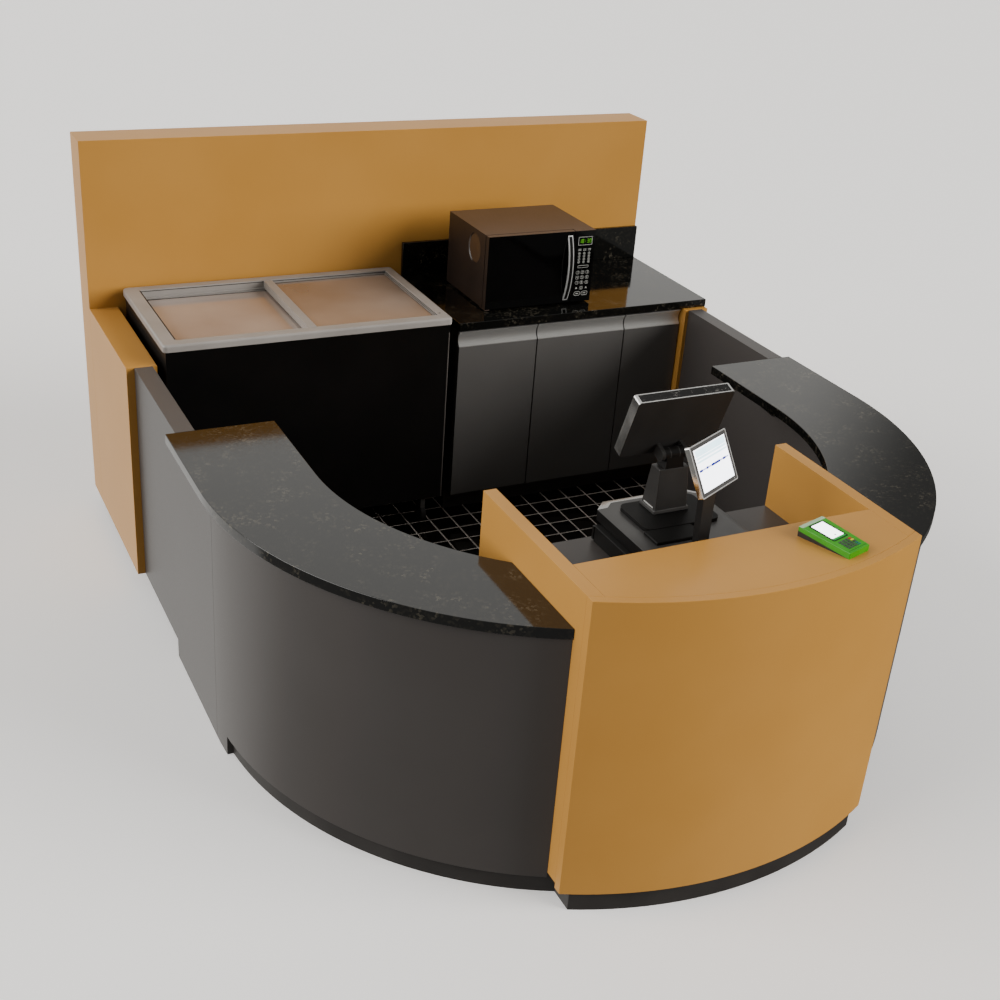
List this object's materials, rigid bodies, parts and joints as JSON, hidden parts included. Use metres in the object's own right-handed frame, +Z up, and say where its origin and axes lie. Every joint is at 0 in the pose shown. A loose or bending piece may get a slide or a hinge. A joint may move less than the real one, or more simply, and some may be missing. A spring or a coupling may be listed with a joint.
{
  "type": "street kiosk",
  "caption": "Open street kiosk with an ochre back wall, grey curved walls, black granite counters, a bowed cash counter, chest freezer, microwave and till.",
  "frame": {"origin": "on the ground in the middle of the footprint", "axes": "+Z up, -Y towards the customers, +X to their right as they face the kiosk"},
  "size_m": [2.84, 3.4978, 1.8],
  "materials": {
    "ochre_laminate": "satin ochre laminate on board",
    "grey_laminate": "satin grey laminate on board",
    "plinth_board": "matt dark plinth board",
    "platform_board": "painted plywood platform",
    "floor_tile": "glossy black floor tiles",
    "polished_granite": "polished black granite",
    "bracket_steel": "painted steel",
    "cabinet_board": "dark melamine board",
    "cabinet_door_board": "dark grey door fronts",
    "handle_aluminium": "anodised aluminium profile",
    "freezer_steel": "black painted steel",
    "freezer_rim_plastic": "pale grey moulded rim",
    "lid_glass": "glass panes in pale frames",
    "castor_rubber": "hard rubber castors",
    "oven_enamel": "dark brown satin enamel",
    "oven_glass": "black glass door",
    "oven_chrome": "polished chrome bar",
    "till_plastic": "black moulded housings",
    "till_metal": "dark grey painted metal",
    "display_screen": "pale screen in a dark bezel",
    "reader_plastic": "green moulded shell"
  },
  "bodies": {
    "kiosk": {"back_counter_top": "polished_granite", "back_wall": "ochre_laminate", "backsplash": "polished_granite", "cabinet_base": "cabinet_board", "cabinet_uprights": "cabinet_board", "card_reader": "reader_plastic", "cash_desk": "grey_laminate", "cash_drawer_case": "till_plastic", "cash_front": "ochre_laminate", "cash_ledge": "ochre_laminate", "cash_plinth": "plinth_board", "cash_side_left": "ochre_laminate", "cash_side_right": "ochre_laminate", "counter_brackets": "bracket_steel", "counter_top_left": "polished_granite", "counter_top_right": "polished_granite", "display_post": "till_metal", "floor": "floor_tile", "freezer_body": "freezer_steel", "freezer_castors": "castor_rubber", "freezer_rim": "freezer_rim_plastic", "front_plinths": "plinth_board", "front_wall_left": "grey_laminate", "front_wall_right": "grey_laminate", "microwave_body": "oven_enamel", "platform": "platform_board", "side_wall_left": "grey_laminate", "side_wall_right": "grey_laminate", "till_body": "till_metal", "till_stand": "till_plastic", "wing_left": "ochre_laminate", "wing_right": "ochre_laminate"},
    "door_1": {"cabinet_door_1": "cabinet_door_board", "door_handle_1": "handle_aluminium"},
    "door_2": {"cabinet_door_2": "cabinet_door_board", "door_handle_2": "handle_aluminium"},
    "door_3": {"cabinet_door_3": "cabinet_door_board", "door_handle_3": "handle_aluminium"},
    "lid_left": {"freezer_lid_left": "lid_glass"},
    "lid_right": {"freezer_lid_right": "lid_glass"},
    "oven_door": {"microwave_door": "oven_glass", "microwave_handle": "oven_chrome"},
    "cash_drawer": {"cash_drawer_tray": "till_plastic"},
    "staff_screen": {"till_screen": "till_plastic"},
    "customer_screen": {"customer_display": "display_screen"}
  },
  "joints": [
    {"name": "door_1_hinge", "type": "hinge", "parent": "kiosk", "child": "door_1", "pos_m": [0.098, 0.8675, 0.214], "axis": [0, 0, -1], "range_deg": [0, 90]},
    {"name": "door_2_hinge", "type": "hinge", "parent": "kiosk", "child": "door_2", "pos_m": [0.50425, 0.8675, 0.214], "axis": [0, 0, -1], "range_deg": [0, 90]},
    {"name": "door_3_hinge", "type": "hinge", "parent": "kiosk", "child": "door_3", "pos_m": [1.28, 0.8675, 0.214], "axis": [0, 0, 1], "range_deg": [0, 90]},
    {"name": "lid_left_slide", "type": "slide", "parent": "kiosk", "child": "lid_left", "axis": [1, 0, 0], "range_m": [0, 0.54]},
    {"name": "lid_right_slide", "type": "slide", "parent": "kiosk", "child": "lid_right", "axis": [-1, 0, 0], "range_m": [0, 0.54]},
    {"name": "oven_door_hinge", "type": "hinge", "parent": "kiosk", "child": "oven_door", "pos_m": [0.2695, 0.9765, 1.097], "axis": [0, 0, -1], "range_deg": [0, 110]},
    {"name": "cash_drawer_slide", "type": "slide", "parent": "kiosk", "child": "cash_drawer", "axis": [0, 1, 0], "range_m": [0, 0.28]},
    {"name": "till_screen_tilt", "type": "hinge", "parent": "kiosk", "child": "staff_screen", "pos_m": [0.05, -0.965, 1.276], "axis": [1, 0, 0], "range_deg": [-15, 25]},
    {"name": "customer_display_tilt", "type": "hinge", "parent": "kiosk", "child": "customer_screen", "pos_m": [-0.016, -1.281, 1.407], "axis": [-0.8988, -0.4384, 0], "range_deg": [-20, 20]}
  ]
}
